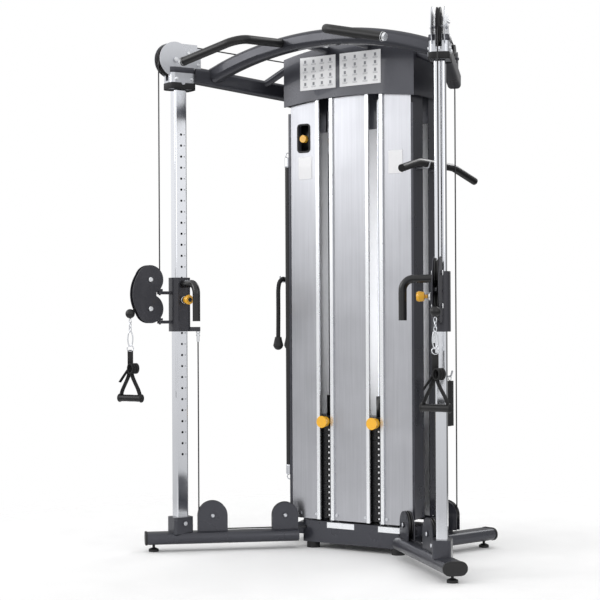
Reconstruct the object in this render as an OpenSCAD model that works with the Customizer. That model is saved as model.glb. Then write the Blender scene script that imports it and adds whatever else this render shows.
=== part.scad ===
/* [Overall] */
// Distance of each column from the middle plane
col_x = 674; // [640:1:720]
// Height of the top of each chrome column
col_top = 2148; // [2140:1:2149]
// Turn of each column, its carriage and its pulleys about the upright
col_yaw = 23; // [15:1:30]
// Turn of each front leg out from the side
leg_yaw = 43; // [40:1:45]
// How far the columns stand in front of the machine's middle
set_back = 326.3; // [300:0.1:340]

/* [Columns and carriages] */
// Depth of a column, along its pulleys
col_d = 62; // [58:1:64]
// Width of a column
col_w = 46; // [44:1:48]
// Spacing of the height holes
hole_pitch = 50; // [50:50:50]
// Width of a carriage sleeve
sleeve_w = 74; // [72:1:76]
// Depth of a carriage sleeve
sleeve_d = 92; // [90:1:94]
// Height of a carriage sleeve
sleeve_h = 244; // [230:1:250]
// Height of a sleeve's lower edge at rest
sleeve_z = 997; // [990:1:1005]

/* [Tower] */
// Half the width of the weight tower
tower_x = 318; // [310:1:325]
// Front face of the tower's panels behind the columns
tower_y = 386; // [384:1:388]
// Depth of the tower
tower_d = 236; // [234:1:238]
// Height of the panels' lower edge
panel_z = 135; // [133:1:140]
// Height of the panels' upper edge
panel_top = 2100; // [2090:1:2110]
// Distance of each weight stack from the middle plane
stack_x = 132; // [130:1:134]
// Width of the window in front of each stack
slot_w = 60; // [56:1:62]

/* [Weights] */
// Number of plates that stay down when the pin is in the top plate
plate_n = 16; // [10:1:16]
// Thickness of one plate
plate_t = 25; // [22:1:25]
// Spacing of the plates
plate_pitch = 26; // [26:0.1:26.5]

/* [Pulleys and cable] */
// Diameter of the steel cable
cable_d = 6; // [5:0.5:6]
// Groove radius of the carriage pulleys
arm_r = 54; // [50:1:54]
// Groove radius of the top pulleys
top_r = 73; // [70:1:73]
// Groove radius of the low pulleys
low_r = 56; // [52:1:56]
// Width of a pulley
pulley_w = 18; // [16:1:18]

/* [Hidden] */

steel = "#4b4c53";
black = "#1c1c1e";
bright = "#d8dade";
alu = "#a9acb2";
yellow = "#f0b428";

$fn = 48;
slide_gap = 0.4;
axle_r = 6;
run_gap = 0.05;

// Base
leg_z = 60;
leg_h = 54;
leg_w = 100;
leg_out = 152;
leg_in = 540;
cap_t = 9;
beam_z = 28;
beam_top = 126;
beam_d = 60;
beam_y = tower_y + 4;
tray_z = 110;
socket_top = 156;
tower_back = tower_y + tower_d;
rear_leg_a = [372, 560];
rear_leg_b = [455, 845];
foot_d = 46;

// Top
header_z = 2030;
header_rise = 27;
header_y = tower_y - 18;
header_x = 344;
crown_z = 2120;
arch_y = 160;
arch_r = 1615;
arch_top = 2283;
arch_w = 70;
arch_end = 590;
arm_tilt = 4.9;
arm_start = 72;
arm_z = 2168;
arm_len = 600;

// Pulleys
top_y = top_r - 101;
top_z = 2228;
hinge_y = -101;
arm_y = hinge_y - arm_r;
arm_high = 1231;
arm_low = 1100;
arm_half = 11;
plate_skin = 4;
foot_s = -146;
inner_s = -480;
low_z = 157;
foot_r = 62;
back_y = 640;
back_r = 58;
back_z = 2209;
rear_r = 60;
rear_z = 163;
rim = 5;
cable_out = foot_s + foot_r;
rear_x = col_x - (back_y + back_r) * sin(col_yaw);
rear_y = (back_y + back_r) * cos(col_yaw);

// Carriage
ball_y = -250;
ball_z = 1078;
ball_r = 21;
knob_z = 1140;
handle_z = 1212;
handle_low = 1043;
handle_x = -157;
handle_d = 34;
lug_t = 14;
lug_low = 1033;
lug_high = 1165;
pin_r = 5;
grip_z = 702;
grip_l = 130;
grip_d = 32;

// Weights
stack_z = 142;
plate_y = tower_y + 14;
plate_d = 130;
plate_w = 236;
rod_y = plate_y + 60;
rod_gap = 20.5;
rod_d = 19;
stem_r = 9;
head_t = 50;
head_z = stack_z + plate_n * plate_pitch;
stem_top = head_z + head_t + 130;

// The triceps rope's centre line
rope_d = 20;
rope_sides = 10;
rope_steps = 4;
rope_points = [[-402, 396, 968], [-402, 397, 1020], [-402, 398, 1080], [-402, 398, 1140],
    [-402, 399, 1190], [-402, 410, 1224], [-402, 441, 1240], [-402, 472, 1224],
    [-402, 483, 1190], [-402, 484, 1140], [-402, 484, 1080], [-402, 485, 1020],
    [-402, 486, 968]];

// Everything is drawn with the columns on the X axis, then moved back over the origin.
module machine() translate([0, -set_back, 0]) children();
module left() machine() mirror([1, 0, 0]) children();
module both() {
    children();
    mirror([1, 0, 0]) children();
}
// The right column's own frame: -Y points out to the user, -X points inward.
module at_column() translate([col_x, 0, 0]) rotate([0, 0, col_yaw]) children();
// The right leg's own frame: +X points outward along the leg.
module at_leg() translate([col_x, 0, 0]) rotate([0, 0, -leg_yaw]) children();
// Turns a flat outline in X and Y up into the Y and Z of a pulley's plane
module upright() rotate([90, 0, 90]) children();

module round_rect(w, d, r) {
    square([w - 2 * r, d], center = true);
    square([w, d - 2 * r], center = true);
    for (x = [-1, 1], y = [-1, 1]) translate([x * (w / 2 - r), y * (d / 2 - r)]) circle(r);
}
module flat_oval(w, h) {
    square([w - h, h], center = true);
    for (x = [-1, 1]) translate([x * (w - h) / 2, 0]) circle(d = h);
}
module bar(a, b, d) {
    v = b - a;
    translate(a) rotate([0, acos(v[2] / norm(v)), atan2(v[1], v[0])]) cylinder(h = norm(v), d = d);
}
function unit(v) = v / norm(v);
function turn_at(p, i) = acos(unit(p[i] - p[i - 1]) * unit(p[i + 1] - p[i]));
function trim_at(p, i, r) = i == 0 || i == len(p) - 1 ? 0 : r * tan(turn_at(p, i) / 2);
weld_gap = 0.02;
// A round bar along straight runs, with a true arc of radius r at each corner
module bent_bar(points, d, r) {
    for (i = [0 : len(points) - 2]) {
        u = unit(points[i + 1] - points[i]);
        bar(points[i] + (trim_at(points, i, r) + weld_gap) * u,
            points[i + 1] - (trim_at(points, i + 1, r) + weld_gap) * u, d);
    }
    for (i = [1 : len(points) - 2]) {
        u = unit(points[i] - points[i - 1]);
        w = unit(cross(u, points[i + 1] - points[i]));
        v = cross(w, u);
        c = points[i] - trim_at(points, i, r) * u + r * v;
        multmatrix([[u[0], v[0], w[0], c[0]], [u[1], v[1], w[1], c[1]], [u[2], v[2], w[2], c[2]], [0, 0, 0, 1]])
            rotate([0, 0, -90]) rotate_extrude(angle = turn_at(points, i)) translate([r, 0]) circle(d = d);
    }
}
// A pulley that turns about X, with a true bore and a round-bottomed groove
module pulley(r, bore) rotate([0, 90, 0]) difference() {
    cylinder(h = pulley_w, r = r + rim, center = true);
    rotate_extrude() {
        translate([r, 0]) circle(d = cable_d + 1.4, $fn = 24);
        translate([r, -cable_d / 2 - 0.7]) square([2 * rim, cable_d + 1.4]);
    }
    cylinder(h = 2 * pulley_w, r = bore, center = true);
}
// Cable bent round a pulley that turns about X
module cable_arc(r, from, sweep) upright() rotate([0, 0, from])
    rotate_extrude(angle = sweep) translate([r, 0]) circle(d = cable_d, $fn = 24);
// A straight run of cable, a hair short of the arcs that it meets
module cable_run(a, b) {
    u = unit(b - a);
    bar(a + weld_gap * u, b - weld_gap * u, cable_d);
}
// Two cheek plates, their axle and its bolt heads, round a pulley that turns about Y
module cheeks(r, drop) {
    for (y = [-12, 16]) translate([0, y, 0]) rotate([90, 0, 0]) linear_extrude(plate_skin) {
        circle(r, $fn = 72);
        translate([-r, -drop]) square([2 * r, drop]);
    }
    rotate([90, 0, 0]) cylinder(h = 24 - 2 * weld_gap, r = axle_r, center = true);
    for (s = [-1, 1]) translate([0, s * (18.5 + weld_gap), 0]) rotate([90, 0, 0])
        cylinder(h = 5, d = 24, center = true);
}

// Base frame
module leg_solid(grow) at_leg() translate([-leg_in, 0, leg_z]) upright()
    linear_extrude(leg_in + leg_out) flat_oval(leg_w + grow, leg_h + grow);
module front_beam() color(steel) difference() {
    translate([-262, beam_y, beam_z]) cube([524, beam_d, beam_top - beam_z]);
    both() leg_solid(0.1);
    both() at_leg() translate([-620, -8, low_z - foot_r - 8]) cube([130, 16, 16]);
}
module front_legs() color(steel) both() {
    difference() {
        leg_solid(0);
        at_leg() translate([leg_out - 30, 0, 0]) cylinder(h = 50, d = 12.1);
    }
    at_column() difference() {
        translate([0, 0, leg_z + 20]) linear_extrude(socket_top - leg_z - 20) round_rect(78, 96, 12);
        translate([0, 0, leg_z + leg_h / 2 + 2]) linear_extrude(100)
            round_rect(col_w + 0.1, col_d + 0.1, 8.05);
    }
}
module tower_frame() color(steel) {
    difference() {
        union() {
            translate([-345, rear_y - 35, 34]) cube([690, 60, 52]);
            both() translate([200, beam_y + beam_d, 34]) cube([50, 165, 52]);
            translate([-300, beam_y + beam_d, 80]) cube([600, 150, beam_top - 80]);
            both() translate([258, 592, 80]) cube([40, 25, crown_z - 70]);
            translate([-300, 430, crown_z]) cube([600, 187, 24]);
        }
        translate([-400, 400, 86]) cube([800, 60, tray_z - 86]);
    }
    both() rear_leg();
    both() rear_bracket_post();
}
module rear_leg() {
    v = rear_leg_b - rear_leg_a;
    translate([rear_leg_a[0], rear_leg_a[1], leg_z]) rotate([0, 0, atan2(v[1], v[0])]) upright()
        linear_extrude(norm(v)) flat_oval(leg_w, leg_h);
}
module rear_bracket_post() translate([rear_x - rear_r - 30, rear_y - 18, 80]) cube([60, 36, 16]);
module leg_caps() color(black) both() {
    v = rear_leg_b - rear_leg_a;
    at_leg() translate([leg_out, 0, leg_z]) upright() linear_extrude(cap_t) flat_oval(leg_w + 4, leg_h + 4);
    translate([rear_leg_b[0], rear_leg_b[1], leg_z]) rotate([0, 0, atan2(v[1], v[0])]) upright()
        linear_extrude(cap_t) flat_oval(leg_w + 4, leg_h + 4);
}
module foot(top) {
    cylinder(h = 11, d = foot_d);
    translate([0, 0, 11]) cylinder(h = 6, d1 = foot_d, d2 = 22);
    cylinder(h = top, d = 12);
}
module levelling_feet() color(black) both() {
    at_leg() translate([leg_out - 30, 0, 0]) foot(leg_z - leg_h / 2 + 12);
    translate([225, beam_y + 28, 0]) cylinder(h = beam_z, d = 60);
    translate([rear_leg_b[0] - 8, rear_leg_b[1] - 28, 0]) foot(leg_z - leg_h / 2);
}
module columns() color(bright) both() at_column() difference() {
    translate([0, 0, leg_z + leg_h / 2 + 2]) linear_extrude(col_top - leg_z - leg_h / 2 - 2)
        round_rect(col_w, col_d, 8);
    translate([0, 0, 80]) linear_extrude(col_top) round_rect(col_w - 6, col_d - 6, 5);
    for (i = [-14 : 15]) translate([-col_w, 0, knob_z + i * hole_pitch]) rotate([0, 90, 0])
        cylinder(h = col_w, d = 11);
}

// Top of the frame
module bracket_outline() {
    translate([top_y, 0]) circle(r = top_r + 7, $fn = 72);
    translate([top_y, -34]) square([130, 92]);
    translate([top_y, -34]) square([112, 108]);
}
module top_brackets() color(bright) both() at_column() {
    for (x = [-28, 24]) translate([x, 0, top_z]) upright() linear_extrude(plate_skin) bracket_outline();
    translate([-24, top_y, top_z]) rotate([0, 90, 0]) cylinder(h = 48, r = axle_r);
    for (x = [-33, 28]) translate([x, top_y, top_z]) rotate([0, 90, 0]) cylinder(h = 5, d = 26);
    difference() {
        translate([0, 6, 2100]) linear_extrude(top_z - 34 - 2100) round_rect(84, 128, 20);
        translate([0, 0, 2090]) linear_extrude(col_top - 2090) round_rect(col_w + 0.1, col_d + 0.1, 8.05);
        translate([-13, top_y - 100, 2132]) cube([26, 210, 90]);
    }
}
module arch_solid(grow) translate([0, arch_y, arch_top - arch_r]) rotate([90, 0, 0]) {
    half = asin(arch_end / arch_r);
    rotate([0, 0, 90 - half]) rotate_extrude(angle = 2 * half, $fn = 180)
        translate([arch_r, 0]) round_rect(arch_w + grow, arch_w + grow, 22);
}
module arm_solid(grow) at_column() translate([0, arm_start, arm_z]) rotate([-90 - arm_tilt, 0, 0])
    linear_extrude(arm_len) round_rect(60 + grow, 74 + grow, 18);
module arch_beam() color(steel) difference() {
    union() {
        arch_solid(0);
        both() bar([110, arch_y, 2272], [110, header_y, 2272], 36);
    }
    both() arm_solid(0.1);
}
module top_arms() color(steel) both() difference() {
    union() {
        arm_solid(0);
        bar([345, 405, 2215], [490, 412, 2150], 34);
        at_column() for (x = [-19, 15]) translate([x, 0, back_z]) upright() linear_extrude(plate_skin) {
            translate([back_y, 0]) circle(r = 30);
            translate([back_y - 30, -70]) square([60, 70]);
        }
        at_column() translate([-24, back_y, back_z]) rotate([0, 90, 0]) cylinder(h = 48, r = axle_r);
    }
    at_column() translate([0, back_y, back_z]) rotate([0, 90, 0])
        difference() {
            cylinder(h = 26, r = back_r + rim + 4, center = true);
            cylinder(h = 30, r = axle_r, center = true);
        }
    translate([0, header_y - 1, header_z]) cube([header_x + 0.1, tower_d + 30, 230]);
}
module pull_up_bars() color(black) both() {
    bent_bar([[194, 130, 2276], [210, -171, 2254], [500, -174, 2186]], 38, 70);
    bar([500, -174, 2186], [513, -174.1, 2183], 40);
}

// Tower
module arch_edges() difference() {
    translate([-header_x, header_z]) square([2 * header_x, 262]);
    translate([0, header_z + header_rise - 2200]) circle(r = 2200, $fn = 360);
    difference() {
        translate([-400, 2220]) square([800, 100]);
        translate([0, 2292 - 1400]) circle(r = 1400, $fn = 360);
    }
}
module header() color(steel) {
    translate([0, header_y + 9, 0]) rotate([90, 0, 0]) linear_extrude(9) arch_edges();
    both() translate([header_x - 9, header_y + 9, header_z + 4]) cube([9, tower_d + 14, 214]);
    translate([-header_x + 9, header_y + 9, header_z + 206]) cube([2 * header_x - 18, tower_d + 14, 6]);
}
module front_panels() color(alu) difference() {
    translate([-tower_x, tower_y, panel_z]) cube([2 * tower_x, 3, panel_top - panel_z]);
    for (s = [-1, 1]) translate([s * stack_x - slot_w / 2, tower_y - 5, panel_z - 5])
        cube([slot_w, 15, panel_top]);
    translate([-247, tower_y + 10, 1882]) rotate([90, 0, 0]) linear_extrude(20) round_rect(64, 126, 16);
}
module slot_trims() color(bright) {
    for (s = [-1, 1], t = [-1, 1])
        translate([s * stack_x + t * (slot_w / 2 + 7) - 8, tower_y - 9, panel_z])
            cube([16, 8.9, panel_top - panel_z]);
    translate([-131, beam_y - 3.1, 98]) cube([145, 3, 25]);
    translate([140, beam_y - 3.1, 98]) cube([120, 3, 25]);
}
module side_covers() color(steel) both() {
    translate([tower_x - 3, tower_y + 3.1, panel_z + 30]) cube([3, 104, panel_top - panel_z + 40]);
    translate([tower_x + 1, tower_y - 2, panel_z + 30]) cube([12, 26, header_z - panel_z - 60]);
    translate([tower_x - 3, tower_y + 160, panel_z + 30]) cube([3, tower_d - 165, panel_top - panel_z + 40]);
}
module rear_cover() color(steel)
    translate([-tower_x, tower_back - 4, panel_z]) cube([2 * tower_x, 4, panel_top - panel_z + 70]);
module guide_rods() color(bright) for (s = [-1, 1], t = [-1, 1])
    translate([s * stack_x + t * rod_gap, rod_y, beam_top]) cylinder(h = crown_z - beam_top, d = rod_d);
module rod_holes(t) {
    for (s = [-1, 1]) translate([s * rod_gap, 60, -1]) cylinder(h = t + 2, r = rod_d / 2 + 0.6);
    translate([0, -1, t / 2]) rotate([-90, 0, 0]) cylinder(h = 47, r = 5.5);
}
module weight_plates() color(black) for (s = [-1, 1], i = [0 : plate_n - 1])
    translate([s * stack_x, plate_y, stack_z + i * plate_pitch]) difference() {
        translate([-plate_w / 2, 0, 0]) cube([plate_w, plate_d, plate_t]);
        rod_holes(plate_t);
        translate([0, 60, -1]) cylinder(h = plate_t + 2, r = stem_r);
    }
module stack_bumpers() color(black) for (s = [-1, 1], t = [-1, 1])
    translate([s * stack_x + t * 85, plate_y + 62, beam_top]) cylinder(h = stack_z - beam_top, d = 36);
module top_plate() color(black) translate([stack_x, plate_y, head_z]) {
    difference() {
        translate([-plate_w / 2, 0, 0]) cube([plate_w, plate_d, head_t]);
        rod_holes(head_t);
    }
    translate([0, 60, stack_z + 10 - head_z]) cylinder(h = head_z - stack_z - 10, r = stem_r - 1);
    translate([0, 60, head_t]) cylinder(h = 130, r = stem_r);
}
module selector_pin() color(yellow) translate([stack_x, plate_y, head_z + head_t / 2]) rotate([90, 0, 0]) {
    translate([0, 0, -44]) cylinder(h = 70, r = 5.45);
    translate([0, 0, 20]) cylinder(h = 34, d1 = 46, d2 = 54);
}
module lift_cable() color(black) translate([stack_x, rod_y, stem_top]) cylinder(h = crown_z - stem_top, d = cable_d);
module placards() color("#e8e8ea") {
    translate([-252, header_y - 1.6, 2098]) cube([192, 1.5, 150]);
    translate([-38, header_y - 1.6, 2098]) cube([215, 1.5, 150]);
    for (s = [-1, 1]) translate([s * 240 - 36, tower_y - 1.6, 1694]) cube([72, 1.5, 102]);
}
module range_knob() color(yellow) translate([-250, tower_y - 4, 1880]) rotate([-90, 0, 0]) {
    cylinder(h = 20, d = 34);
    cylinder(h = 60, d = 12);
}

// Low pulleys, tower pulleys and their brackets
module floor_pulley_brackets() color(steel) both() {
    at_leg() translate([foot_s, 0, low_z]) cheeks(68, low_z - leg_z - leg_h / 2 - 0.1);
    at_leg() translate([inner_s, 0, low_z - 6]) cheeks(60, low_z - 6 - leg_z - leg_h / 2 - 0.1);
    translate([rear_x - rear_r, rear_y, rear_z]) cheeks(66, rear_z - 96.1);
}
module foot_pulley() color(black) at_leg() translate([foot_s, 0, low_z]) rotate([0, 0, 90])
    pulley(foot_r, axle_r + run_gap);
module tower_pulleys() color(black) both() {
    at_leg() translate([inner_s, 0, low_z - 6]) rotate([0, 0, 90]) pulley(low_r, axle_r + run_gap);
    translate([rear_x - rear_r, rear_y, rear_z]) rotate([0, 0, 90]) pulley(rear_r, axle_r + run_gap);
    at_column() translate([0, back_y, back_z]) pulley(back_r, axle_r + run_gap);
}
module top_pulley() color(black) at_column() translate([0, top_y, top_z]) pulley(top_r, axle_r + run_gap);

// Cables
span_y = back_y - top_y;
span_z = back_z - top_z;
span_turn = 90 + atan2(span_z, span_y) - asin((top_r - back_r) / norm([span_y, span_z]));
module tower_cables() color(black) both() {
    at_column() {
        translate([0, top_y, top_z]) cable_arc(top_r, span_turn, 180 - span_turn);
        cable_run([0, top_y + top_r * cos(span_turn), top_z + top_r * sin(span_turn)],
            [0, back_y + back_r * cos(span_turn), back_z + back_r * sin(span_turn)]);
        translate([0, back_y, back_z]) cable_arc(back_r, 0, span_turn);
        cable_run([0, back_y + back_r, rear_z], [0, back_y + back_r, back_z]);
    }
    translate([rear_x - rear_r, rear_y, rear_z]) rotate([0, 0, -90]) cable_arc(rear_r, 270, 90);
    cable_run([rear_x - rear_r, rear_y, rear_z - rear_r], [90, rear_y, rear_z - rear_r]);
    translate([60, rear_y, rear_z - rear_r]) rotate([0, 90, 0]) cylinder(h = 30, d = 12);
    at_leg() {
        translate([foot_s, 0, low_z]) rotate([0, 0, -90]) cable_arc(foot_r, 270, 90);
        cable_run([foot_s, 0, low_z - foot_r], [-600, 0, low_z - foot_r]);
    }
}
module upper_cable() color(black) at_column()
    translate([0, hinge_y, arm_high]) cylinder(h = top_z - arm_high, d = cable_d);
module lower_cable() color(black) at_leg()
    translate([cable_out, 0, low_z]) cylinder(h = sleeve_z - low_z, d = cable_d);

// Carriage
module carriage() color(steel) {
    at_column() {
        difference() {
            union() {
                translate([0, 0, sleeve_z]) linear_extrude(sleeve_h) round_rect(sleeve_w, sleeve_d, 26);
                translate([0, 0, knob_z]) rotate([0, -90, 0]) cylinder(h = 54, r = 13);
                for (z = [lug_low, lug_high]) translate([0, 0, z]) linear_extrude(lug_t) {
                    translate([-12, hinge_y]) square([24, 70]);
                    translate([0, hinge_y]) circle(12);
                }
            }
            translate([0, 0, sleeve_z - 1]) linear_extrude(sleeve_h + 2)
                round_rect(col_w + 2 * slide_gap, col_d + 2 * slide_gap, 8 + slide_gap);
            translate([-60, 0, knob_z]) rotate([0, 90, 0]) cylinder(h = 60, r = 8 + run_gap);
        }
        translate([0, hinge_y, lug_low - 4]) cylinder(h = 32, r = pin_r);
        translate([0, hinge_y, lug_high - 4]) cylinder(h = 30, r = pin_r);
    }
    at_leg() difference() {
        translate([cable_out - 10, -9, sleeve_z]) cube([60, 18, 20]);
        rotate([0, 0, leg_yaw + col_yaw]) linear_extrude(2000) round_rect(sleeve_w - 2, sleeve_d - 2, 26);
    }
}
module grab_handle() color(black) at_column() difference() {
    bent_bar([[-30, 0, handle_z], [handle_x, 0, handle_z], [handle_x, 0, handle_low]], handle_d, 46);
    translate([0, 0, sleeve_z - 1]) linear_extrude(sleeve_h + 2) round_rect(sleeve_w + 0.1, sleeve_d + 0.1, 26);
}
module plunger() color(yellow) at_column() translate([0, 0, knob_z]) rotate([0, -90, 0]) {
    translate([0, 0, col_w / 2 + 1]) cylinder(h = 20, r = 5.2);
    translate([0, 0, col_w / 2 + 14]) cylinder(h = 60 - col_w / 2, r = 8);
    translate([0, 0, 68]) cylinder(h = 22, d1 = 36, d2 = 44);
    translate([0, 0, 90]) cylinder(h = 10, d1 = 44, d2 = 34);
}

// Swivelling pulley arm
module arm_outline() {
    for (z = [arm_low, arm_high]) translate([arm_y, z]) circle(r = arm_r + 11, $fn = 72);
    translate([arm_y - arm_r - 11, arm_low]) square([arm_r + 41, arm_high - arm_low]);
    intersection() {
        translate([arm_y + 70, (arm_low + arm_high) / 2]) circle(r = 158, $fn = 144);
        translate([arm_y - 100, (arm_low + arm_high) / 2 - 90]) square([100, 180]);
    }
    translate([arm_y, lug_low + lug_t + slide_gap]) square([62, 10]);
    translate([arm_y, lug_high + lug_t + slide_gap]) square([62, 10]);
}
module pulley_arm() color(steel) at_column() {
    difference() {
        union() {
            for (x = [-arm_half - plate_skin, arm_half]) translate([x, 0, 0]) upright()
                linear_extrude(plate_skin) arm_outline();
            translate([0, hinge_y, lug_low + lug_t + slide_gap]) cylinder(h = 10, r = 12);
            translate([0, hinge_y, lug_high + lug_t + slide_gap]) cylinder(h = 10, r = 12);
        }
        translate([0, hinge_y, lug_low]) cylinder(h = 40, r = pin_r + run_gap);
        translate([0, hinge_y, lug_high]) cylinder(h = 40, r = pin_r + run_gap);
    }
    for (z = [arm_low, arm_high]) translate([0, arm_y, z]) rotate([0, 90, 0]) {
        cylinder(h = 2 * arm_half, r = axle_r, center = true);
        for (s = [-1, 1]) translate([0, 0, s * (arm_half + plate_skin + 2.5)]) cylinder(h = 5, d = 22, center = true);
    }
}
module arm_pulley(z) color(black) at_column() translate([0, arm_y, z]) pulley(arm_r, axle_r + run_gap);

// The cable from the hinge line round both arm pulleys to its stop ball
cross_turn = asin(2 * arm_r / (arm_high - arm_low));
ball_reach = norm([ball_y - arm_y, ball_z - arm_low]);
leave_turn = atan2(ball_z - arm_low, ball_y - arm_y) + 360 - acos(arm_r / ball_reach);
module cable_end() color(black) at_column() {
    translate([0, arm_y, arm_high]) cable_arc(arm_r, -cross_turn, cross_turn);
    cable_run([0, arm_y + arm_r * cos(cross_turn), arm_high - arm_r * sin(cross_turn)],
        [0, arm_y - arm_r * cos(cross_turn), arm_low + arm_r * sin(cross_turn)]);
    translate([0, arm_y, arm_low]) cable_arc(arm_r, 180 - cross_turn, leave_turn - 180 + cross_turn);
    difference() {
        cable_run([0, arm_y + arm_r * cos(leave_turn), arm_low + arm_r * sin(leave_turn)], [0, ball_y, ball_z]);
        translate([0, ball_y, ball_z]) sphere(r = ball_r - 1);
    }
    translate([0, ball_y, ball_z]) sphere(r = ball_r);
}
module stirrup() color(black) at_column() translate([0, ball_y, 0]) rotate([0, 0, -col_yaw]) {
    translate([0, 0, 935]) cylinder(h = ball_z - ball_r - 935.3, d = 16);
    translate([-13, -3, 820]) cube([26, 6, 116]);
    for (s = [-1, 1]) bar([s * 6, 0, 826], [s * (grip_l / 2 - 8), 0, grip_z], 12);
    translate([-grip_l / 2, 0, grip_z]) rotate([0, 90, 0]) cylinder(h = grip_l, d = grip_d);
}

// Hardware and stored accessories
module fasteners() color(bright) {
    both() at_column() for (z = [2122, 128]) translate([-49, 0, z]) rotate([0, 90, 0]) cylinder(h = 6.9, d = 18);
    for (x = [-275, -185, -76, 76, 187, 275]) translate([x, tower_y - 4.1, 158]) rotate([-90, 0, 0]) cylinder(h = 4, d = 14);
}
module hook(x, y, z, out) bent_bar([[x, y, z], [x + out, y, z], [x + out + sign(out) * 8, y, z + 26]], 8, 9);
module accessory_hooks() color(bright) {
    for (y = [430, 570]) hook(tower_x + 0.1, y, 1714, 64);
    hook(tower_x + 0.1, 590, 790, 84);
    hook(-tower_x - 0.1, rope_points[6][1], rope_points[6][2] - rope_d / 2 - 4.5, -96);
    for (z = [420, 1700]) translate([-tower_x - 13.1, 388, z]) cube([13, 24, 14]);
}
module straight_bar() color(black) translate([-tower_x - 27.2, 400, 330]) cylinder(h = 1470, d = 28);
module curl_bar() color(black)
    bent_bar([[366, 220, 1696], [366, 370, 1735], [366, 690, 1735], [366, 900, 1688]], 34, 200);
module rope_balls() color(black) for (p = [rope_points[0], rope_points[len(rope_points) - 1]])
    translate(p + [0, 0, -42]) {
        cylinder(h = 41.9, r1 = 24, r2 = 15);
        translate([0, 0, 4]) sphere(r = 23);
    }
module ankle_cuff() color(black) translate([398, 545, 560]) cube([16, 55, 215]);

// A round cord swept along smooth points
function catmull(a, b, c, d, t) = 0.5 * (2 * b + (c - a) * t + (2 * a - 5 * b + 4 * c - d) * t * t
    + (3 * b - a - 3 * c + d) * t * t * t);
function along(p, i) = p[max(0, min(len(p) - 1, i))];
function smooth(p, n) = [for (i = [0 : len(p) - 2], k = [0 : n - 1])
    catmull(along(p, i - 1), p[i], p[i + 1], along(p, i + 2), k / n), p[len(p) - 1]];
function ring(q, i, r, n) = let (t = unit(along(q, i + 1) - along(q, i - 1)), u = [1, 0, 0], w = unit(cross(t, u)))
    [for (k = [0 : n - 1]) q[i] + r * (cos(360 * k / n) * u + sin(360 * k / n) * w)];
module cord(p, d, n, steps) {
    q = smooth(p, steps);
    m = len(q);
    polyhedron([for (i = [0 : m - 1]) each ring(q, i, d / 2, n)],
        [[for (k = [0 : n - 1]) k], [for (k = [n - 1 : -1 : 0]) (m - 1) * n + k],
         for (i = [0 : m - 2], k = [0 : n - 1])
             [i * n + k, (i + 1) * n + k, (i + 1) * n + (k + 1) % n, i * n + (k + 1) % n]]);
}
module triceps_rope() color(black) cord(rope_points, rope_d, rope_sides, rope_steps);

machine() front_beam();
machine() front_legs();
machine() tower_frame();
machine() leg_caps();
machine() levelling_feet();
machine() columns();
machine() top_brackets();
machine() arch_beam();
machine() top_arms();
machine() pull_up_bars();
machine() header();
machine() front_panels();
machine() slot_trims();
machine() side_covers();
machine() rear_cover();
machine() guide_rods();
machine() weight_plates();
machine() stack_bumpers();
machine() placards();
machine() floor_pulley_brackets();
machine() fasteners();
machine() accessory_hooks();
machine() straight_bar();
machine() curl_bar();
machine() triceps_rope();
machine() rope_balls();
machine() ankle_cuff();
machine() tower_cables();
machine() tower_pulleys();
machine() range_knob();
left() upper_cable();  // upper_cable_left
machine() upper_cable();  // upper_cable_right
left() lower_cable();  // lower_cable_left
machine() lower_cable();  // lower_cable_right
left() lift_cable();  // lift_cable_left
machine() lift_cable();  // lift_cable_right
left() top_plate();  // top_plate_left
machine() top_plate();  // top_plate_right
left() selector_pin();  // selector_pin_left
machine() selector_pin();  // selector_pin_right
left() carriage();  // carriage_left
machine() carriage();  // carriage_right
left() grab_handle();  // grab_handle_left
machine() grab_handle();  // grab_handle_right
left() plunger();  // plunger_left
machine() plunger();  // plunger_right
left() pulley_arm();  // pulley_arm_left
machine() pulley_arm();  // pulley_arm_right
left() arm_pulley(arm_high);  // arm_pulley_upper_left
machine() arm_pulley(arm_high);  // arm_pulley_upper_right
left() arm_pulley(arm_low);  // arm_pulley_lower_left
machine() arm_pulley(arm_low);  // arm_pulley_lower_right
left() top_pulley();  // top_pulley_left
machine() top_pulley();  // top_pulley_right
left() foot_pulley();  // foot_pulley_left
machine() foot_pulley();  // foot_pulley_right
left() cable_end();  // cable_end_left
machine() cable_end();  // cable_end_right
left() stirrup();  // stirrup_left
machine() stirrup();  // stirrup_right
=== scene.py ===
import math
import bmesh
import bpy
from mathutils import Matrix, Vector


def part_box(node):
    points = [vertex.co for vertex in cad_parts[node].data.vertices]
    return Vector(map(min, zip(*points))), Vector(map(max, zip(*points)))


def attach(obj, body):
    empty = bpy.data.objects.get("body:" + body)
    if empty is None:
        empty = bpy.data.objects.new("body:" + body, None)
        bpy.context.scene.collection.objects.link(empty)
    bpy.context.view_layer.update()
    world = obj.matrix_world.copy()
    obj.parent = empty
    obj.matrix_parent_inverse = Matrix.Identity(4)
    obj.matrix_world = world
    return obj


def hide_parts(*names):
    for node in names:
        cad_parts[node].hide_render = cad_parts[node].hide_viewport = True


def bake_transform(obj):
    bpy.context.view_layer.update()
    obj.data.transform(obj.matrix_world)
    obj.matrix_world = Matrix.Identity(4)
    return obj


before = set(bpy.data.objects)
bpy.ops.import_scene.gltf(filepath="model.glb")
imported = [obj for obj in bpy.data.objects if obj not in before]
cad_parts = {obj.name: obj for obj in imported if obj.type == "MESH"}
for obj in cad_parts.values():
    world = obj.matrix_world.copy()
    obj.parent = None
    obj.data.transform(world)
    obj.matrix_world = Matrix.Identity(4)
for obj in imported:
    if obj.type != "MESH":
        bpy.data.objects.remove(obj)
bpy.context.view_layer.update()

# ---------------------------------------------------------------- the view
# A level view from the user's right, from about chest height and six and a half metres away, on a long lens.
# The lens axis is shifted up slightly, so that the uprights stay parallel.
camera_data = bpy.data.cameras.new("camera")
camera_data.lens = 90.67
camera_data.sensor_width = 36.0
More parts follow.
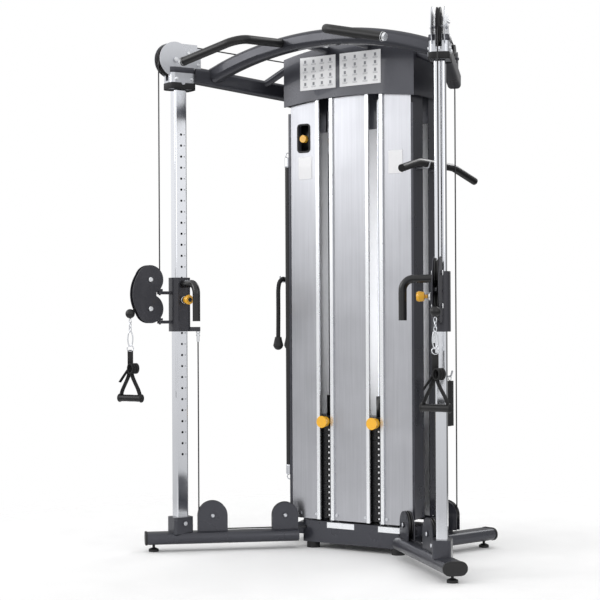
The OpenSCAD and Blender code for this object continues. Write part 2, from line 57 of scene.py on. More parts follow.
camera_data.shift_y = 0.0312
camera_data.clip_end = 60.0
camera = bpy.data.objects.new("camera", camera_data)
camera.location = (3.6019, -5.7371, 1.052)
camera.rotation_euler = (math.pi / 2, 0.005, 0.5892)
bpy.context.scene.collection.objects.link(camera)
bpy.context.scene.camera = camera
bpy.context.scene.view_settings.view_transform = "Standard"


def add(tree, kind, settings=None, **links):
    """Adds one node; settings are its properties or its sockets' values, links are sockets to join to."""
    node = tree.nodes.new(kind)
    for key, value in (settings or {}).items():
        if key in node.inputs:
            node.inputs[key].default_value = value
        else:
            setattr(node, key, value)
    for key, source in links.items():
        tree.links.new(source, node.inputs[key.replace("_", " ")])
    return node


# The studio's walls are white to the camera. What the metal reflects of them is dimmer towards the floor
# and behind the machine, as in a room that is lit from above and in front.
world = bpy.data.worlds.new("white_studio")
bpy.context.scene.world = world
world.use_nodes = True
studio = world.node_tree
wall = studio.nodes["Background"]
wall.inputs["Color"].default_value = (1.0, 1.0, 1.0, 1.0)
direction = add(studio, "ShaderNodeSeparateXYZ",
                Vector=add(studio, "ShaderNodeTexCoord").outputs["Generated"])
by_height = {"From Min": -0.25, "From Max": 0.08, "To Min": 0.4, "To Max": 1.1}
by_depth = {"From Min": 0.2, "From Max": 0.75, "To Min": 1.0, "To Max": 0.25}
upward = add(studio, "ShaderNodeMapRange", by_height, Value=direction.outputs["Z"])
rearward = add(studio, "ShaderNodeMapRange", by_depth, Value=direction.outputs["Y"])
reflected = add(studio, "ShaderNodeMath", {"operation": "MULTIPLY"})
studio.links.new(upward.outputs["Result"], reflected.inputs[0])
studio.links.new(rearward.outputs["Result"], reflected.inputs[1])
strength = add(studio, "ShaderNodeMix", {"B": 1.0}, A=reflected.outputs["Value"],
               Factor=add(studio, "ShaderNodeLightPath").outputs["Is Camera Ray"])
studio.links.new(strength.outputs["Result"], wall.inputs["Strength"])


def softbox(name, place, size, power):
    """A square soft light at place, facing the middle of the machine."""
    data = bpy.data.lights.new(name, "AREA")
    data.size = size
    data.energy = power
    lamp = bpy.data.objects.new(name, data)
    lamp.location = place
    lamp.rotation_euler = (Vector((0, 0, 1.1)) - Vector(place)).to_track_quat("-Z", "Y").to_euler()
    bpy.context.scene.collection.objects.link(lamp)


softbox("key", (-3.4, -3.8, 3.4), 2.4, 70)
softbox("fill", (4.6, -2.6, 2.6), 2.2, 18)
softbox("rim", (0.4, 3.8, 4.2), 2.4, 60)

# A strip light hangs inside the tower, behind the middle panel, and lights the back of the weight bays.
strip = bpy.data.lights.new("tower_strip", "AREA")
strip.shape = "RECTANGLE"
strip.size = 0.10
strip.size_y = 1.7
strip.energy = 2.2
inside = bpy.data.objects.new("tower_strip", strip)
inside.location = (0, 0.078, 1.2)
inside.rotation_euler = (-math.pi / 2, 0, math.pi)
bpy.context.scene.collection.objects.link(inside)


# ---------------------------------------------------------------- the floor
# A plain white studio floor, which only catches a soft shadow and fades out a few steps from the machine.
def linear(hex_colour):
    """An sRGB hex colour as linear red, green, blue and alpha."""
    parts = [int(hex_colour[i:i + 2], 16) / 255 for i in (1, 3, 5)]
    return [c / 12.92 if c <= 0.04045 else ((c + 0.055) / 1.055) ** 2.4 for c in parts] + [1.0]


def surface(name, colour, metallic, roughness, grain_mm, bump, stretch=(1, 1, 1), mottle=0.1,
            coat=0.0, wear=0.0):
    """A painted, plated or moulded surface. grain_mm is the size of its texture and bump its depth in mm.
    stretch draws the grain out along an axis, mottle varies the colour, and wear adds slow rub marks."""
    material = bpy.data.materials.new(name)
    material.use_nodes = True
    tree = material.node_tree
    tree.nodes.clear()
    out = add(tree, "ShaderNodeOutputMaterial")
    shader = add(tree, "ShaderNodeBsdfPrincipled", {"Metallic": metallic, "Coat Weight": coat})
    tree.links.new(shader.outputs["BSDF"], out.inputs["Surface"])
    place = add(tree, "ShaderNodeTexCoord")
    mapped = add(tree, "ShaderNodeMapping", {"Scale": stretch}, Vector=place.outputs["Object"])
    grain = add(tree, "ShaderNodeTexNoise", {"Scale": 1000 / grain_mm / 4, "Detail": 3.0},
                Vector=mapped.outputs["Vector"])
    cloud = add(tree, "ShaderNodeTexNoise", {"Scale": 5.0, "Detail": 4.0}, Vector=place.outputs["Object"])
    dark = [c * (1 - mottle) for c in linear(colour)[:3]] + [1.0]
    light = [min(1, c * (1 + mottle)) for c in linear(colour)[:3]] + [1.0]
    both = add(tree, "ShaderNodeMath", {"operation": "ADD"})
    tree.links.new(grain.outputs["Fac"], both.inputs[0])
    tree.links.new(cloud.outputs["Fac"], both.inputs[1])
    shade = add(tree, "ShaderNodeMapRange", {"From Min": 0.7, "From Max": 1.3}, Value=both.outputs["Value"])
    mix = add(tree, "ShaderNodeMix", {"data_type": "RGBA"})
    mix.inputs[6].default_value = dark
    mix.inputs[7].default_value = light
    tree.links.new(shade.outputs["Result"], mix.inputs[0])
    tree.links.new(mix.outputs[2], shader.inputs["Base Color"])
    rough = add(tree, "ShaderNodeMapRange", {"From Min": 0.3, "From Max": 0.7,
                "To Min": max(0.02, roughness - 0.05 - wear), "To Max": roughness + 0.05 + wear},
                Value=cloud.outputs["Fac"])
    tree.links.new(rough.outputs["Result"], shader.inputs["Roughness"])
    height = add(tree, "ShaderNodeBump", {"Strength": 0.5, "Distance": bump / 1000},
                 Height=grain.outputs["Fac"])
    tree.links.new(height.outputs["Normal"], shader.inputs["Normal"])
    return material


floor_reach = 30
floor_mesh = bpy.data.meshes.new("studio_floor")
floor_corners = [(x * floor_reach, y * floor_reach, 0) for x, y in ((-1, -1), (1, -1), (1, 1), (-1, 1))]
floor_mesh.from_pydata(floor_corners, [], [(0, 1, 2, 3)])
studio_floor = bpy.data.objects.new("studio_floor", floor_mesh)
bpy.context.scene.collection.objects.link(studio_floor)
paper = surface("studio_paper", "#fafafa", 0.0, 0.6, 3.0, 0.05, mottle=0.01)
floor_mesh.materials.append(paper)
paper_tree = paper.node_tree
from_middle = add(paper_tree, "ShaderNodeVectorMath", {"operation": "LENGTH"})
paper_tree.links.new(add(paper_tree, "ShaderNodeTexCoord").outputs["Object"], from_middle.inputs[0])
fade = add(paper_tree, "ShaderNodeMapRange", {"From Min": 1.1, "From Max": 2.6},
           Value=from_middle.outputs["Value"])
paper_end = next(node for node in paper_tree.nodes if node.type == "OUTPUT_MATERIAL").inputs["Surface"]
thinned = add(paper_tree, "ShaderNodeMixShader")
paper_tree.links.new(fade.outputs["Result"], thinned.inputs[0])
paper_tree.links.new(paper_end.links[0].from_socket, thinned.inputs[1])
paper_tree.links.new(add(paper_tree, "ShaderNodeBsdfTransparent").outputs["BSDF"], thinned.inputs[2])
paper_tree.links.new(thinned.outputs["Shader"], paper_end)


# ---------------------------------------------------------------- triceps rope
# A 20 mm braided nylon rope, about 0.6 m long, with a rubber stop ball crimped on each end.
# It is folded over a hook on the tower's left side, and both strands hang straight down.
# The machine is drawn from the line between its columns, then moved this far forward to centre its base.
set_back = 0.3263


def piece(name, mesh, material, body):
    """Makes one finished piece of a mesh, with its material, that rides on a body."""
    made = bpy.data.objects.new(name, mesh)
    bpy.context.scene.collection.objects.link(made)
    mesh.materials.append(material)
    mesh.shade_smooth()
    mesh.update()
    if body:
        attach(made, body)
    return made


def sweep(path, profile, side, closed=False):
    """Points and faces of a profile carried along a path. side is where the profile's first axis starts out.
    profile is a list of (across, out), or a function of the length so far that gives one."""
    path = [Vector(p) for p in path]
    count = len(path)
    points, so_far, side = [], 0.0, Vector(side)
    for i, here in enumerate(path):
        ahead = path[(i + 1) % count] if closed or i < count - 1 else here
        behind = path[i - 1] if closed or i > 0 else here
        along = (ahead - behind).normalized()
        side = (side - side.dot(along) * along).normalized()
        out = along.cross(side)
        so_far += (here - behind).length if i else 0.0
        ring = profile(so_far) if callable(profile) else profile
        points += [here + a * side + b * out for a, b in ring]
    corners = len(ring)
    faces = [[i * corners + k, i * corners + (k + 1) % corners,
              ((i + 1) % count) * corners + (k + 1) % corners, ((i + 1) % count) * corners + k]
             for i in range(count if closed else count - 1) for k in range(corners)]
    if not closed:
        faces += [list(range(corners))[::-1], [(count - 1) * corners + k for k in range(corners)]]
    return points, faces


def joined(*parts):
    """One mesh of several lots of points and faces."""
    points, faces = [], []
    for some_points, some_faces in parts:
        faces += [[len(points) + k for k in face] for face in some_faces]
        points += some_points
    mesh = bpy.data.meshes.new("swept")
    mesh.from_pydata(points, [], faces)
    shell = bmesh.new()
    shell.from_mesh(mesh)
    bmesh.ops.recalc_face_normals(shell, faces=shell.faces)
    shell.to_mesh(mesh)
    shell.free()
    return mesh


def circle(radius, sides=12):
    """A round profile."""
    return [(radius * math.cos(2 * math.pi * k / sides), radius * math.sin(2 * math.pi * k / sides))
            for k in range(sides)]


def smooth(points, steps):
    """The points of a Catmull-Rom curve through points, with steps to each stretch."""
    curve = []
    for i in range(len(points) - 1):
        a, b, c, d = (Vector(points[max(0, min(len(points) - 1, i + k))]) for k in (-1, 0, 1, 2))
        for k in range(steps):
            t = k / steps
            curve.append(0.5 * (2 * b + (c - a) * t + (2 * a - 5 * b + 4 * c - d) * t * t
                                + (3 * b - a - 3 * c + d) * t ** 3))
    return curve + [Vector(points[-1])]


rope_route = [(-0.402, y - set_back, z) for y, z in (
    (0.396, 0.968), (0.397, 1.020), (0.398, 1.080), (0.398, 1.140), (0.399, 1.190), (0.410, 1.224),
    (0.441, 1.240), (0.472, 1.224), (0.483, 1.190), (0.484, 1.140), (0.484, 1.080), (0.485, 1.020),
    (0.486, 0.968))]
rope_radius = 0.010
rope_lay = 0.034


def rope_ring(so_far):
    """Three fat strands that twist once in every lay of the rope."""
    turn = 2 * math.pi * so_far / rope_lay
    ring = []
    for k in range(30):
        angle = 2 * math.pi * k / 30
        radius = rope_radius * (0.94 + 0.08 * abs(math.cos(1.5 * (angle + turn))))
        ring.append((radius * math.cos(angle), radius * math.sin(angle)))
    return ring


rope_path = smooth(rope_route, 20)
nylon_rope = surface("black_nylon_rope", "#0f0f12", 0.0, 0.7, 1.5, 0.5, mottle=0.25)
triceps_rope = piece("braided_rope", joined(sweep(rope_path, rope_ring, (1, 0, 0))), nylon_rope, "frame")
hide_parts("triceps_rope")


# ---------------------------------------------------------------- welded frame
# Legs, beams, arch, arms and covers of welded steel tube and sheet, powder coated in a metallic charcoal.
# The coat is satin, slightly orange-peeled, and dulled a little where hands and shoes rub it.
def paint(material, *nodes):
    """Gives a material to CAD nodes."""
    for name in nodes:
        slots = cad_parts[name].data.materials
        slots.clear()
        slots.append(material)


charcoal = surface("charcoal_powder_coat", "#3a3b42", 0.45, 0.32, 1.2, 0.12, mottle=0.08, coat=0.25,
                   wear=0.04)
paint(charcoal, "front_beam", "front_legs", "tower_frame", "arch_beam", "top_arms", "header",
      "side_covers", "rear_cover", "floor_pulley_brackets")

# ---------------------------------------------------------------- rubber caps and feet
# Moulded black rubber end caps pushed over the legs, and levelling feet screwed up into them.
rubber = surface("moulded_rubber", "#101012", 0.0, 0.6, 0.8, 0.15, mottle=0.15)
paint(rubber, "leg_caps", "levelling_feet", "stack_bumpers", "rope_balls")

# ---------------------------------------------------------------- columns and guide rods
# Chrome-plated rectangular tube with a row of 11 mm pin holes, and ground and plated guide rods.
# The plating is nearly a mirror, with faint polishing lines along its length.
chrome = surface("chrome_plate", "#dcdee3", 1.0, 0.1, 1.0, 0.01, stretch=(1, 1, 0.03), mottle=0.02)
paint(chrome, "columns", "guide_rods")

# ---------------------------------------------------------------- bright fittings
# Brackets, slot trims, hooks and bolts of satin zinc-plated steel, brushed along their length.
satin = surface("satin_plated_steel", "#c9cbd0", 0.9, 0.3, 0.8, 0.02, stretch=(1, 1, 0.1), mottle=0.04)
bright_trim = surface("bright_trim", "#eceef1", 0.75, 0.28, 0.8, 0.01, stretch=(1, 1, 0.05), mottle=0.02)
paint(satin, "top_brackets", "fasteners", "accessory_hooks")
paint(bright_trim, "slot_trims")

# ---------------------------------------------------------------- tower panels
# Three brushed and anodised aluminium sheets between the weight slots, with upright brush lines.
panel_metal = surface("brushed_anodised_aluminium", "#b0b1b6", 0.95, 0.36, 1.6, 0.03, stretch=(1, 1, 0.02),
                      mottle=0.07)
paint(panel_metal, "front_panels")

# ---------------------------------------------------------------- weights
# Cast iron plates in satin black enamel on plated rods, with a drilled front edge for the selector pin.
enamel = surface("black_enamelled_iron", "#141417", 0.2, 0.34, 1.4, 0.12, mottle=0.15)
paint(enamel, "weight_plates", "top_plate_left", "top_plate_right")
yellow = surface("yellow_moulded_abs", "#f2b42c", 0.0, 0.32, 0.9, 0.05, mottle=0.04, coat=0.2)
paint(yellow, "selector_pin_left", "selector_pin_right", "plunger_left", "plunger_right", "range_knob")

# ---------------------------------------------------------------- guide blocks
# A block of moulded black nylon stands on each top plate, just in front of the rods that the stack runs on.
# The moulding leaves it smooth, with softened upright edges.
guide_nylon = surface("guide_block_nylon", "#0c0c0e", 0.0, 0.35, 1.0, 0.05, mottle=0.1)
stack_x = 0.132
guide_y = 0.1165
guide_high = 0.092
stem_above_plate = 0.1295
guide_corners = ((1, -0.6), (1, 0.6), (0.9, 1), (-0.9, 1), (-1, 0.6), (-1, -0.6), (-0.9, -1), (0.9, -1))
guide_outline = [(0.029 * a, 0.0065 * b) for a, b in guide_corners]
for side, middle in (("left", -stack_x), ("right", stack_x)):
    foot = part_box("top_plate_" + side)[1][2] - stem_above_plate
    path = [(middle, guide_y, foot), (middle, guide_y, foot + guide_high)]
    guide = piece("guide_block_" + side, joined(sweep(path, guide_outline, (1, 0, 0))), guide_nylon,
                  "stack_" + side)

# ---------------------------------------------------------------- tower lining, painted light
# Thin white sheets stand on the inner faces of the rear cover and of its two posts. Their white is painted
# light:
# lit by the strip light, they stand in for the light at the back of the weight bays. The coat is satin, and
# nearly even in colour.
painted_light_white = surface("painted_light_sheet", "#e6e7ea", 0.0, 0.45, 2.0, 0.03, mottle=0.03)
lining_low, lining_high = 0.16, 1.93
cover_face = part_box("rear_cover")[0][1] - 0.0012
post_face = cover_face - 0.0265


def sheet(x, y, half_wide):
    """Points and faces of an upright lining sheet."""
    half_thick = 0.0008
    outline = [(a * half_wide, b * half_thick) for a, b in ((1, -1), (1, 1), (-1, 1), (-1, -1))]
    return sweep([(x, y, lining_low), (x, y, lining_high)], outline, (1, 0, 0))


lining = piece("rear_painted_light_lining", joined(sheet(0, cover_face, 0.25), sheet(-0.272, post_face, 0.038),
                                     sheet(0.272, post_face, 0.038)), painted_light_white, "frame")

# ---------------------------------------------------------------- carriages and swivel arms
# Dark grey coated sleeves, each with a swivelling pair of pulley plates, a black grab handle and a pop pin.
slate = surface("slate_powder_coat", "#37373d", 0.35, 0.38, 1.4, 0.15, mottle=0.08, coat=0.15)
satin_black = surface("satin_black_coat", "#0e0e10", 0.1, 0.3, 1.0, 0.06, mottle=0.1, coat=0.2)
nylon = surface("moulded_black_nylon", "#0d0d0f", 0.0, 0.4, 1.0, 0.05, mottle=0.1)
sides = ("left", "right")
for side in sides:
    paint(slate, "carriage_" + side, "pulley_arm_" + side)
    paint(satin_black, "grab_handle_" + side)
    paint(nylon, "arm_pulley_upper_" + side, "arm_pulley_lower_" + side, "top_pulley_" + side,
          "foot_pulley_" + side, "cable_end_" + side)
paint(nylon, "tower_pulleys")

# ---------------------------------------------------------------- bars
# The pull-up bars carry ribbed black rubber sleeves, and the loose bars are coated satin black.
grip_rubber = surface("textured_grip_rubber", "#0f0f11", 0.0, 0.4, 2.0, 0.25, mottle=0.12)
paint(grip_rubber, "pull_up_bars")
paint(satin_black, "straight_bar", "curl_bar")

# ---------------------------------------------------------------- placards
# Printed white sheets under clear film, with plain grey charts and no lettering.
card = surface("printed_card", "#eeeef0", 0.0, 0.3, 3.0, 0.01, mottle=0.02, coat=0.4)
paint(card, "placards")

# ---------------------------------------------------------------- cables
# Six-millimetre steel cable in a black nylon jacket. The straight runs between a carriage and the fixed
# pulleys and above each stack grow and shrink; here each is drawn as one fixed straight tube that rides on no
# body.
jacket = surface("cable_jacket", "#17171a", 0.0, 0.35, 1.0, 0.05, mottle=0.1)
cable_radius = 0.003
paint(jacket, "tower_cables")
for side in sides:
    for run, moving, low_moves in (("upper_cable_", "carriage_", True), ("lower_cable_", "carriage_", False),
                                   ("lift_cable_", "stack_", True)):
        low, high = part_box(run + side)
        x, y = (low[0] + high[0]) / 2, (low[1] + high[1]) / 2
        path = [(x, y, low[2] + (high[2] - low[2]) * k / 40) for k in range(41)]
        cable = piece(run + "run_" + side, joined(sweep(path, circle(cable_radius), (1, 0, 0))), jacket, None)
        ends = [(x, y, low[2]), (x, y, high[2])]
        if not low_moves:
            ends.reverse()
        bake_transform(cable)
        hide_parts(run + side)

# ---------------------------------------------------------------- stirrup handles
# Each hangs from the cable's stop ball on three chain links, a snap hook and a ring. A 25 mm nylon web is
# gathered at a knot and runs down both sides to a ribbed rubber grip with moulded end discs.
webbing = surface("black_nylon_webbing", "#0e0e10", 0.0, 0.75, 1.6, 0.4, stretch=(1, 1, 0.5), mottle=0.2)


def loop(centre, half_wide, half_high, across, thick, count=32):
    """A closed oval ring of round wire, standing up, as wide as across says."""
    path = [Vector(centre) + Vector(across) * half_wide * math.cos(2 * math.pi * k / count)
            + Vector((0, 0, half_high * math.sin(2 * math.pi * k / count))) for k in range(count)]
    return sweep(path, circle(thick, 10), Vector(across).cross((0, 0, 1)), closed=True)


def flat_strap(half_wide, half_thick):
    """A flat profile with softened edges."""
    edge = half_thick * 0.6
    inner = half_wide - edge
    return [(half_wide, -edge), (half_wide, edge), (inner, half_thick), (-inner, half_thick),
            (-half_wide, edge), (-half_wide, -edge), (-inner, -half_thick), (inner, -half_thick)]


def lathe_faces(rings, around):
    """The faces of a closed turned shape of this many rings, with this many points around each."""
    faces = [[i * around + j, i * around + (j + 1) % around, (i + 1) * around + (j + 1) % around,
              (i + 1) * around + j] for i in range(rings - 1) for j in range(around)]
    return faces + [list(range(around)), [(rings - 1) * around + j for j in range(around)]]


chain_links = ((0.012, (1, 0, 0)), (0.030, (0, 1, 0)), (0.048, (1, 0, 0)))
hook_across = (0.83, 0.56, 0)
knot_z = 0.828
disc_radius = 0.019
grip_radius = 0.0145
rib_deep = 0.0012
grip_rings = 61
grip_around = 24
for side in sides:
    low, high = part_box("stirrup_" + side)
    x, y = (low[0] + high[0]) / 2, (low[1] + high[1]) / 2
    grip_z = low[2] + 0.016
    top = high[2]
    chain = [loop((x, y, top - drop), 0.006, 0.012, across, 0.002) for drop, across in chain_links]
    hook = loop((x, y, top - 0.090), 0.011, 0.034, hook_across, 0.0028)
    ring = loop((x, y, top - 0.133), 0.014, 0.013, hook_across, 0.0025)
    snap = piece("snap_hook_" + side, joined(*chain, hook, ring), chrome, "stirrup_" + side)
    web_top = top - 0.140
    strap = flat_strap(0.0125, 0.002)
    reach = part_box("stirrup_" + side)[1][0] - x - 0.006
    web_parts = [sweep([(x, y, web_top), (x, y, 0.87), (x, y, knot_z)], strap, hook_across)]
    for s in (-1, 1):
        legs = smooth([(x + s * 0.004, y, knot_z + 0.01), (x + s * 0.012, y, knot_z - 0.03),
                       (x + s * reach * 0.78, y, grip_z + 0.035), (x + s * (reach - 0.002), y, grip_z)], 8)
        web_parts.append(sweep(legs, flat_strap(0.0115, 0.0035), (0, 1, 0)))
    for k in range(3):
        bunch = [Vector((x + 0.012 + 0.014 * math.cos(a) + 0.004 * k, y + (k - 1) * 0.012,
                         knot_z + 0.006 + 0.021 * math.sin(a)))
                 for a in [2 * math.pi * i / 20 for i in range(20)]]
        web_parts.append(sweep(bunch, flat_strap(0.008, 0.003), (0, 1, 0), closed=True))
    tail = smooth([(x - 0.006, y - 0.010, knot_z), (x - 0.024, y - 0.020, knot_z - 0.03),
                   (x - 0.040, y - 0.026, knot_z - 0.055)], 8)
    web_parts.append(sweep(tail, flat_strap(0.009, 0.002), (0, 1, 0)))
    web = piece("stirrup_web_" + side, joined(*web_parts), webbing, "stirrup_" + side)
    grip_half = high[0] - x
    stations = []
    for k in range(grip_rings):
        t = 2 * k / (grip_rings - 1) - 1
        ribbed = grip_radius + rib_deep * math.cos(t * 60) * (abs(t) < 0.86)
        radius = disc_radius if abs(t) > 0.9 else ribbed
        stations.append((x + t * grip_half, radius - (0.004 if abs(t) > 0.985 else 0)))
    grip_points = [Vector((px, y + out * radius, grip_z + up * radius))
                   for px, radius in stations for out, up in circle(1.0, grip_around)]
    grip = piece("stirrup_grip_" + side, joined((grip_points, lathe_faces(len(stations), grip_around))),
                 grip_rubber, "stirrup_" + side)
    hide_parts("stirrup_" + side)

# ---------------------------------------------------------------- ankle cuff
# A padded nylon cuff folded flat and hung up by its ring on the lower hook of the right side.
low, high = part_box("ankle_cuff")
x, y = (low[0] + high[0]) / 2, (low[1] + high[1]) / 2
cuff_points = [(x, y, z) for z in (high[2] - 0.004, high[2] - 0.07, (low[2] + high[2]) / 2, low[2] + 0.01)]
tab_points = [(px + 0.006, py, pz) for px, py, pz in cuff_points[:3]]
cuff_parts = [sweep(smooth(cuff_points, 10), flat_strap(0.026, 0.007), (0, 1, 0)),
              sweep(smooth(tab_points, 8), flat_strap(0.012, 0.003), (0, 1, 0))]
cuff = piece("nylon_ankle_cuff", joined(*cuff_parts), webbing, "frame")
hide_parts("ankle_cuff")
cuff_ring = piece("cuff_ring", joined(loop((x, y, high[2] + 0.008), 0.012, 0.012, (0, 1, 0), 0.0022)), chrome,
                  "frame")

# ---------------------------------------------------------------- bolt heads and axle caps
# Zinc-plated dome heads hold the brackets, arms and covers, and bright caps close the pulley axles.
# Each is one small turned disc, repeated over the places where the real ones are screwed in.
def repeat_tree():
    """Puts a bevelled disc or a thin block on every point of a mesh."""
    tree = bpy.data.node_groups.new("repeated_heads", "GeometryNodeTree")
    ask = tree.interface.new_socket
    ask("Geometry", in_out="INPUT", socket_type="NodeSocketGeometry")
    ask("Radius", in_out="INPUT", socket_type="NodeSocketFloat")
    ask("Height", in_out="INPUT", socket_type="NodeSocketFloat")
    ask("Block size", in_out="INPUT", socket_type="NodeSocketVector")
    ask("Facing", in_out="INPUT", socket_type="NodeSocketVector")
    ask("Is block", in_out="INPUT", socket_type="NodeSocketBool")
    ask("Finish", in_out="INPUT", socket_type="NodeSocketMaterial")
    ask("Geometry", in_out="OUTPUT", socket_type="NodeSocketGeometry")
    given = add(tree, "NodeGroupInput").outputs
    crown = add(tree, "ShaderNodeMath", {"operation": "MULTIPLY"})
    crown.inputs[1].default_value = 0.75
    tree.links.new(given["Radius"], crown.inputs[0])
    disc = add(tree, "GeometryNodeMeshCone", {"Vertices": 24}, Radius_Bottom=given["Radius"],
               Radius_Top=crown.outputs[0], Depth=given["Height"])
    block = add(tree, "GeometryNodeMeshCube", Size=given["Block size"])
    chosen = add(tree, "GeometryNodeSwitch", {"input_type": "GEOMETRY"})
    tree.links.new(given["Is block"], chosen.inputs["Switch"])
    tree.links.new(disc.outputs["Mesh"], chosen.inputs["False"])
    tree.links.new(block.outputs["Mesh"], chosen.inputs["True"])
    copies = add(tree, "GeometryNodeInstanceOnPoints", Points=given["Geometry"],
                 Instance=chosen.outputs["Output"])
    tree.links.new(given["Facing"], copies.inputs["Rotation"])
    real = add(tree, "GeometryNodeRealizeInstances", Geometry=copies.outputs["Instances"])
    coated = add(tree, "GeometryNodeSetMaterial", Geometry=real.outputs["Geometry"], Material=given["Finish"])
    out = add(tree, "NodeGroupOutput")
    tree.links.new(coated.outputs["Geometry"], out.inputs["Geometry"])
    return tree


heads = repeat_tree()


def repeat(name, points, facing, material, body, radius=0.0, height=0.0, block=None):
    """Discs that face along facing, or thin blocks, at every point, as one piece on a body."""
    dots = bpy.data.meshes.new(name)
    dots.from_pydata([tuple(p) for p in points], [], [])
    holder = bpy.data.objects.new(name, dots)
    bpy.context.scene.collection.objects.link(holder)
    modifier = holder.modifiers.new("heads", "NODES")
    modifier.node_group = heads
    turn = Vector(facing).to_track_quat("Z", "Y").to_euler() if block is None else (0, 0, facing)
    values = {"Radius": radius, "Height": height, "Block size": block or (0.01, 0.01, 0.01),
              "Facing": tuple(turn), "Is block": block is not None, "Finish": material}
    for socket in heads.interface.items_tree:
        if socket.in_out == "INPUT" and socket.name in values:
            modifier[socket.identifier] = values[socket.name]
    bpy.context.view_layer.update()
    mesh = bpy.data.meshes.new_from_object(holder.evaluated_get(bpy.context.evaluated_depsgraph_get()))
    bpy.data.objects.remove(holder)
    mesh.materials.clear()
    made = piece(name, mesh, material, body)
    mesh.shade_flat()
    return made


column_turn = math.radians(23)
leg_turn = math.radians(43)
column_x = 0.674
arm_axle_y = -0.155
arm_axle_heights = (1.1, 1.231)
bracket_bolts = ((0.036, 2.262), (0.088, 2.268), (0.088, 2.212))
low_axles = ((-0.146, 0.157), (-0.48, 0.151))
pop_pin_z = 1.14
bar_end_x, bar_end_y, bar_end_z = 0.5065, -0.1741, 2.1845


def on_column(side, x, y, z):
    """A point given in a column's own frame: -x is inward, -y is out towards the user."""
    east = column_x + x * math.cos(column_turn) - y * math.sin(column_turn)
    north = x * math.sin(column_turn) + y * math.cos(column_turn)
    return (east if side == "right" else -east, north - set_back, z)


def on_leg(side, along, across, z):
    """A point given in a leg's own frame: along is outward, across is to its left."""
    east = column_x + along * math.cos(leg_turn) + across * math.sin(leg_turn)
    north = -along * math.sin(leg_turn) + across * math.cos(leg_turn)
    return (east if side == "right" else -east, north - set_back, z)


for side in sides:
    sign = 1 if side == "right" else -1
    for face in (-1, 1):
        across = (sign * face * math.cos(column_turn), face * math.sin(column_turn), 0)
        name = side + ("_inner" if face < 0 else "_outer")
        repeat("arm_axle_caps_" + name,
               [on_column(side, face * 0.0203, arm_axle_y, z) for z in arm_axle_heights],
               across, bright_trim, "arm_" + side, 0.011, 0.003)
        repeat("top_bracket_bolts_" + name, [on_column(side, face * 0.0283, y, z) for y, z in bracket_bolts],
               across, bright_trim, "frame", 0.0085, 0.005)
        repeat("collar_bolts_" + name, [on_column(side, face * 0.0425, y, 2.14) for y in (-0.03, 0.045)],
               across, bright_trim, "frame", 0.008, 0.004)
        along = (sign * face * math.sin(leg_turn), face * math.cos(leg_turn), 0)
        repeat("low_axle_caps_" + name, [on_leg(side, out, face * 0.0212, z) for out, z in low_axles],
               along, satin, "frame", 0.009, 0.003)
    inward = (-sign * math.cos(column_turn), -math.sin(column_turn), 0)
    repeat("pop_pin_button_" + side, [on_column(side, -0.1005, 0, pop_pin_z)], inward, nylon,
           "plunger_" + side, 0.010, 0.002)
    repeat("pull_up_end_" + side, [(sign * bar_end_x, bar_end_y - set_back, bar_end_z)],
           (sign * 0.972, 0, -0.2315), bright_trim, "frame", 0.0207, 0.0155)

# ---------------------------------------------------------------- column collars
# A moulded black rim and a painted steel strap close each bracket's lower box around the column head, and a
# plated lock nut holds each pop pin's barrel on its sleeve.
strap_z = 2.1805
rim_z = 2.1085
collar_y = 0.006
corner_x = 0.022
corner_y = 0.044
corner_radius = 0.0206
lock_nut_x = -0.046
lock_nut_radius = 0.0147
bends = []
for quarter, way in ((3, -1), (0, 1)):
    for i in range(7):
        angle = math.pi / 2 * (quarter + i / 6)
        bends.append((corner_x + corner_radius * math.cos(angle),
                      collar_y + way * corner_y + corner_radius * math.sin(angle)))
half_round = [(0.0145, -0.0586)] + bends + [(corner_x, 0.0706)]
all_round = bends + [(-x, y) for x, y in bends[::-1]]
for side in sides:
    sign = 1 if side == "right" else -1
    for face, name in ((-1, "inner"), (1, "outer")):
        strap_path = [on_column(side, face * x, y, strap_z) for x, y in half_round]
        band = piece("collar_strap_%s_%s" % (side, name),
                     joined(sweep(strap_path, flat_strap(0.0125, 0.0005), (0, 0, 1))), charcoal, "frame")
    rim_path = [on_column(side, x * 1.022, collar_y + (y - collar_y) * 1.016, rim_z) for x, y in all_round]
    rim = piece("collar_rim_" + side,
                joined(sweep(rim_path, flat_strap(0.0145, 0.0008), (0, 0, 1), closed=True)), rubber, "frame")
    nut_path = [on_column(side, lock_nut_x, y, pop_pin_z + z) for y, z in circle(lock_nut_radius, 24)]
    outward = (sign * math.cos(column_turn), math.sin(column_turn), 0)
    nut = piece("pop_pin_nut_" + side,
                joined(sweep(nut_path, flat_strap(0.004, 0.0013), outward, closed=True)),
                bright_trim, "carriage_" + side)
    for face, name in ((-1, "inner"), (1, "outer")):
        repeat("top_axle_caps_%s_%s" % (side, name), [on_column(side, face * 0.0345, -0.028, 2.228)],
               [face * part for part in outward], bright_trim, "frame", 0.0105, 0.003)

# ---------------------------------------------------------------- cable ferrules
# The lower cable's end is a swaged and threaded steel ferrule with two nuts, screwed up into the lug under
# the carriage.
ferrule_rings = 49
ferrule_high = 0.046
nut_radius = 0.0095
thread_radius = 0.0062
thread_deep = 0.0008
for side in sides:
    low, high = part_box("lower_cable_" + side)
    x, y, top = (low[0] + high[0]) / 2, (low[1] + high[1]) / 2, high[2]
    stations = []
    for k in range(ferrule_rings):
        z = top - 0.001 - ferrule_high * k / (ferrule_rings - 1)
        radius = nut_radius if k < 9 or 14 < k < 22 else thread_radius + thread_deep * (k % 2)
        stations.append((z, radius))
    ferrule_points = [Vector((x + r * east, y + r * north, z))
                      for z, r in stations for east, north in circle(1.0, 16)]
    ferrule = piece("cable_ferrule_" + side, joined((ferrule_points, lathe_faces(ferrule_rings, 16))),
                    bright_trim, "carriage_" + side)

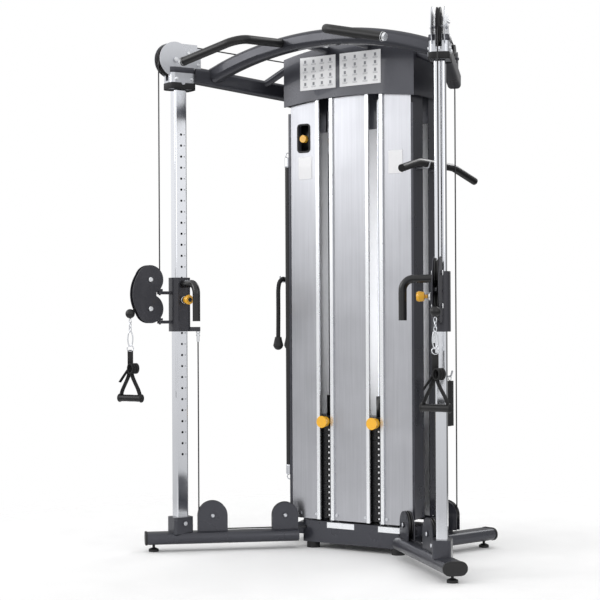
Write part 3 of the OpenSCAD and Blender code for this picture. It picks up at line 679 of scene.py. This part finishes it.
# ---------------------------------------------------------------- range window
# A black moulded frame around the window in the left panel, with a backing plate behind the yellow knob.
low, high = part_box("range_knob")
x, z = (low[0] + high[0]) / 2 + 0.003, (low[2] + high[2]) / 2 + 0.002
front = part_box("front_panels")[0][1]
window_x, window_z, window_corner = 0.018, 0.049, 0.014
frame_path = []
for corner in range(4):
    side_x, side_z = ((1, 1), (-1, 1), (-1, -1), (1, -1))[corner]
    for k in range(6):
        angle = math.pi / 2 * (corner + k / 5)
        frame_path.append((x + side_x * window_x + window_corner * math.cos(angle), front - 0.0015,
                           z + side_z * window_z + window_corner * math.sin(angle)))
window = joined(sweep(frame_path, flat_strap(0.002, 0.004), (0, 1, 0), closed=True),
                sweep([(x, front + 0.034, z - 0.066), (x, front + 0.034, z + 0.066)],
                      flat_strap(0.036, 0.001), (1, 0, 0)))
window_frame = piece("window_frame", window, nylon, "frame")

# ---------------------------------------------------------------- bar ends
# The straight bar has plated ends with a swivel ring; the curl bar's ribbed rubber sleeves are not drawn.
low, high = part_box("straight_bar")
x, y = (low[0] + high[0]) / 2, (low[1] + high[1]) / 2
for name, z, way in (("lower", low[2], 1), ("upper", high[2], -1)):
    sleeve = joined(sweep([(x, y, z + way * (0.0005 + 0.005 * k)) for k in range(10)],
                          lambda run: circle(0.0148 + 0.0006 * math.cos(run * 1250), 24), (1, 0, 0)),
                    loop((x, y, z - way * 0.010), 0.010, 0.012, hook_across, 0.0025))
    end = piece("straight_bar_end_" + name, sleeve, chrome, "frame")

# ---------------------------------------------------------------- printed marks
# Small grey height marks beside the column holes, white plate marks, and grey charts on the placards.
# They are printed films a fraction of a millimetre thick, with no lettering.
grey_ink = surface("grey_print", "#8b8d92", 0.0, 0.5, 1.0, 0.005, mottle=0.05)
white_ink = surface("white_print", "#e4e4e6", 0.0, 0.5, 1.0, 0.005, mottle=0.03)
hole_pitch = 0.05
for side in sides:
    sign = 1 if side == "right" else -1
    marks = [on_column(side, -0.0231, 0.0165, pop_pin_z + hole_pitch * i) for i in range(-14, 16)]
    repeat("height_marks_" + side, marks, sign * column_turn, grey_ink, "frame",
           block=(0.0003, 0.007, 0.004))
low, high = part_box("weight_plates")
plates = 16
plate_pitch = 0.026
plate_middle = 0.0125
for side, middle in (("left", -stack_x), ("right", stack_x)):
    lowest = low[2] + plate_middle
    spots = [(middle + 0.006, low[1] - 0.0001, lowest + plate_pitch * i) for i in range(plates)]
    repeat("plate_marks_" + side, spots, 0.0, white_ink, "frame", block=(0.008, 0.0004, 0.008))
low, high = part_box("placards")
front = low[1] - 0.0001
chart_foot = 2.098
chart_margin = 0.028
first_row = 0.022
row_pitch = 0.034
columns = 4
rows = 4
for name, left_edge, wide in (("left", -0.252, 0.192), ("right", -0.038, 0.215)):
    figures, lines = [], []
    for i in range(columns):
        for j in range(rows):
            x = left_edge + chart_margin + (wide - 2 * chart_margin) * i / (columns - 1)
            z = chart_foot + first_row + row_pitch * j
            figures.append((x, front, z + 0.006))
            lines += [(x, front, z - 0.005 - 0.004 * k) for k in range(2)]
    repeat("chart_figures_" + name, figures, 0.0, grey_ink, "frame", block=(0.011, 0.0003, 0.014))
    repeat("chart_lines_" + name, lines, 0.0, grey_ink, "frame", block=(0.026, 0.0003, 0.0012))
